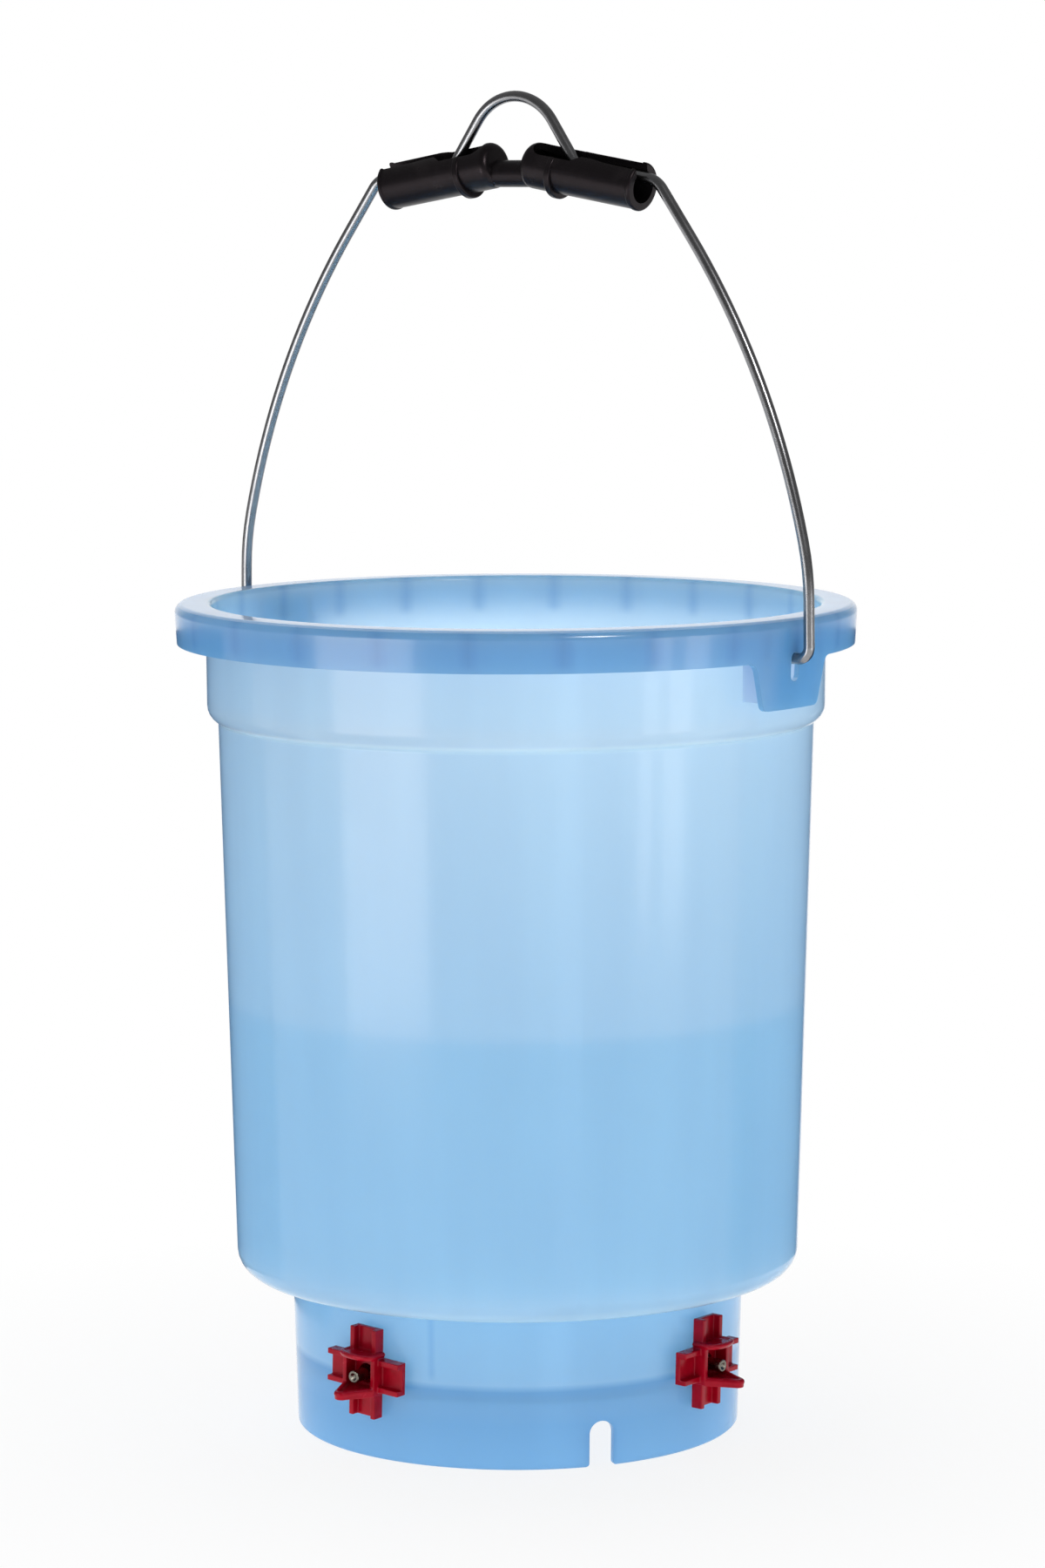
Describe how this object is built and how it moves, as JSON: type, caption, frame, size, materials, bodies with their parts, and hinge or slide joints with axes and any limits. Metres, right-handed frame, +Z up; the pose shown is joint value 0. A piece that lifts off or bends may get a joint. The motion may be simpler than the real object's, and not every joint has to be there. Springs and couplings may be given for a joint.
{
  "type": "chicken waterer",
  "caption": "Hanging poultry drinker: translucent bucket with a wire bail and grip, and spring-closed nipple valves around its base ring.",
  "frame": {"origin": "centre of the base ring's foot, on the surface that the bucket stands on", "axes": "+Z up along the bucket's axis, +X through one ear slot along the bail's pivot line, +Y across the bail"},
  "size_m": [0.2642, 0.2498, 0.4908],
  "materials": {
    "bucket_plastic": "translucent, lightly frosted inside",
    "bail_wire": "galvanised",
    "grip_plastic": "satin black",
    "nipple_plastic": "satin crimson",
    "gasket_rubber": "matt",
    "pin_steel": "turned",
    "spring_steel": "drawn",
    "cap_plastic": "moulded"
  },
  "bodies": {
    "bucket": {"bucket": "bucket_plastic", "nipple_1_body": "nipple_plastic", "nipple_1_gasket": "gasket_rubber", "nipple_1_seat_ring": "gasket_rubber", "nipple_1_spring": "spring_steel", "nipple_1_inlet_cap": "cap_plastic", "nipple_2_body": "nipple_plastic", "nipple_2_gasket": "gasket_rubber", "nipple_2_seat_ring": "gasket_rubber", "nipple_2_spring": "spring_steel", "nipple_2_inlet_cap": "cap_plastic", "nipple_3_body": "nipple_plastic", "nipple_3_gasket": "gasket_rubber", "nipple_3_seat_ring": "gasket_rubber", "nipple_3_spring": "spring_steel", "nipple_3_inlet_cap": "cap_plastic", "nipple_4_body": "nipple_plastic", "nipple_4_gasket": "gasket_rubber", "nipple_4_seat_ring": "gasket_rubber", "nipple_4_spring": "spring_steel", "nipple_4_inlet_cap": "cap_plastic"},
    "bail": {"bail": "bail_wire", "grip": "grip_plastic"},
    "pin_1": {"nipple_1_pin": "pin_steel"},
    "pin_2": {"nipple_2_pin": "pin_steel"},
    "pin_3": {"nipple_3_pin": "pin_steel"},
    "pin_4": {"nipple_4_pin": "pin_steel"}
  },
  "joints": [
    {"name": "bail_swing", "type": "hinge", "parent": "bucket", "child": "bail", "pos_m": [0, 0, 0.2914], "axis": [1, 0, 0], "range_deg": [-130, 130]},
    {"name": "pin_1_tilt", "type": "hinge", "parent": "bucket", "child": "pin_1", "pos_m": [0.0765, 0, 0.03258], "axis": [0, 1, 0], "range_deg": [-6, 6], "stiffness_Nm_per_rad": 0.04},
    {"name": "pin_2_tilt", "type": "hinge", "parent": "bucket", "child": "pin_2", "pos_m": [0, 0.0765, 0.03258], "axis": [-1, 0, 0], "range_deg": [-6, 6], "stiffness_Nm_per_rad": 0.04},
    {"name": "pin_3_tilt", "type": "hinge", "parent": "bucket", "child": "pin_3", "pos_m": [-0.0765, 0, 0.03258], "axis": [0, -1, 0], "range_deg": [-6, 6], "stiffness_Nm_per_rad": 0.04},
    {"name": "pin_4_tilt", "type": "hinge", "parent": "bucket", "child": "pin_4", "pos_m": [-0.002, -0.07648, 0.03258], "axis": [0.9997, -0.0262, 0], "range_deg": [-6, 6], "stiffness_Nm_per_rad": 0.04}
  ]
}
